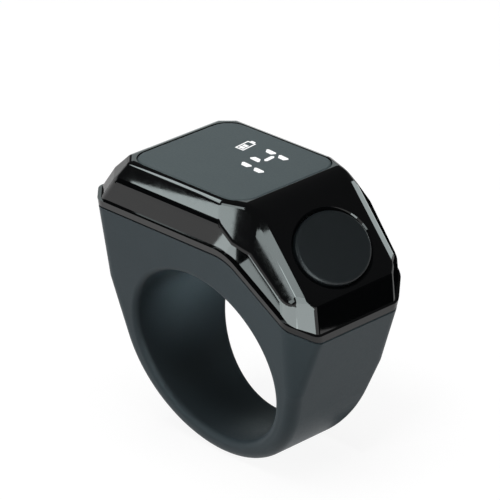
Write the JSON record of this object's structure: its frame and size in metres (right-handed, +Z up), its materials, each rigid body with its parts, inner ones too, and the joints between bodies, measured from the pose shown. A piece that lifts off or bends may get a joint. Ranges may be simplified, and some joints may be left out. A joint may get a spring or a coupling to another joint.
{
  "type": "digital tally counter ring",
  "caption": "Finger ring tally counter with a faceted gloss cover, a flat display window on top, an oval push button on the sloped face and charging parts in the roof of the bore.",
  "frame": {"origin": "centre of the finger bore", "axes": "+Y along the finger, +X towards the sloped face with the button, +Z up to the display"},
  "size_m": [0.0319, 0.0202, 0.0328],
  "materials": {
    "body_plastic": "fine satin moulded grey",
    "cover_plastic": "piano black gloss",
    "seal_rubber": "soft dark bead",
    "window_glass": "grey tinted, smooth",
    "clear_adhesive": "clear",
    "panel_glass": "dark display glass",
    "button_plastic": "satin dark grey",
    "flex_film": "amber film",
    "connector_plastic": "ivory moulded",
    "switch_plastic": "black moulded",
    "plunger_plastic": "white moulded",
    "spring_steel": "stamped sheet",
    "tinned_brass": "tinned",
    "board_laminate": "green solder mask",
    "screw_steel": "plain steel",
    "chip_resin": "black moulded resin",
    "crystal_can": "pressed can",
    "capacitor_ceramic": "tan fired ceramic",
    "cell_foil": "laminated foil",
    "pad_foam": "foam",
    "lead_sheath": "red insulation",
    "contact_gold": "gold plated",
    "magnet_nickel": "nickel plated"
  },
  "bodies": {
    "ring": {"ring_body": "body_plastic", "top_cover": "cover_plastic", "parting_seal": "seal_rubber", "window_gasket": "seal_rubber", "display_window": "window_glass", "display_bond": "clear_adhesive", "oled_panel": "panel_glass", "display_flex": "flex_film", "button_flex": "flex_film", "charge_ribbon": "flex_film", "display_connector": "connector_plastic", "switch_body": "switch_plastic", "inner_frame": "switch_plastic", "switch_cover": "spring_steel", "switch_dome": "spring_steel", "switch_terminals": "tinned_brass", "button_board": "board_laminate", "main_board": "board_laminate", "battery_board": "board_laminate", "contact_board": "board_laminate", "frame_screws": "screw_steel", "controller_chip": "chip_resin", "charger_chip": "chip_resin", "chip_resistors": "chip_resin", "clock_crystal": "crystal_can", "chip_capacitors": "capacitor_ceramic", "battery_cell": "cell_foil", "battery_pads": "pad_foam", "battery_leads": "lead_sheath", "charge_contacts": "contact_gold", "charge_magnets": "magnet_nickel"},
    "button": {"button_cap": "button_plastic", "button_seal": "seal_rubber"},
    "plunger": {"switch_plunger": "plunger_plastic"}
  },
  "joints": [
    {"name": "button_press", "type": "slide", "parent": "ring", "child": "button", "axis": [-0.766, 0, -0.6428], "range_m": [0, 0.00035], "stiffness_N_per_m": 4000},
    {"name": "plunger_press", "type": "slide", "parent": "ring", "child": "plunger", "axis": [-0.766, 0, -0.6428], "range_m": [0, 0.00035]}
  ],
  "couplings": [
    {"joint": "plunger_press", "follows": "button_press", "ratio": 1}
  ]
}
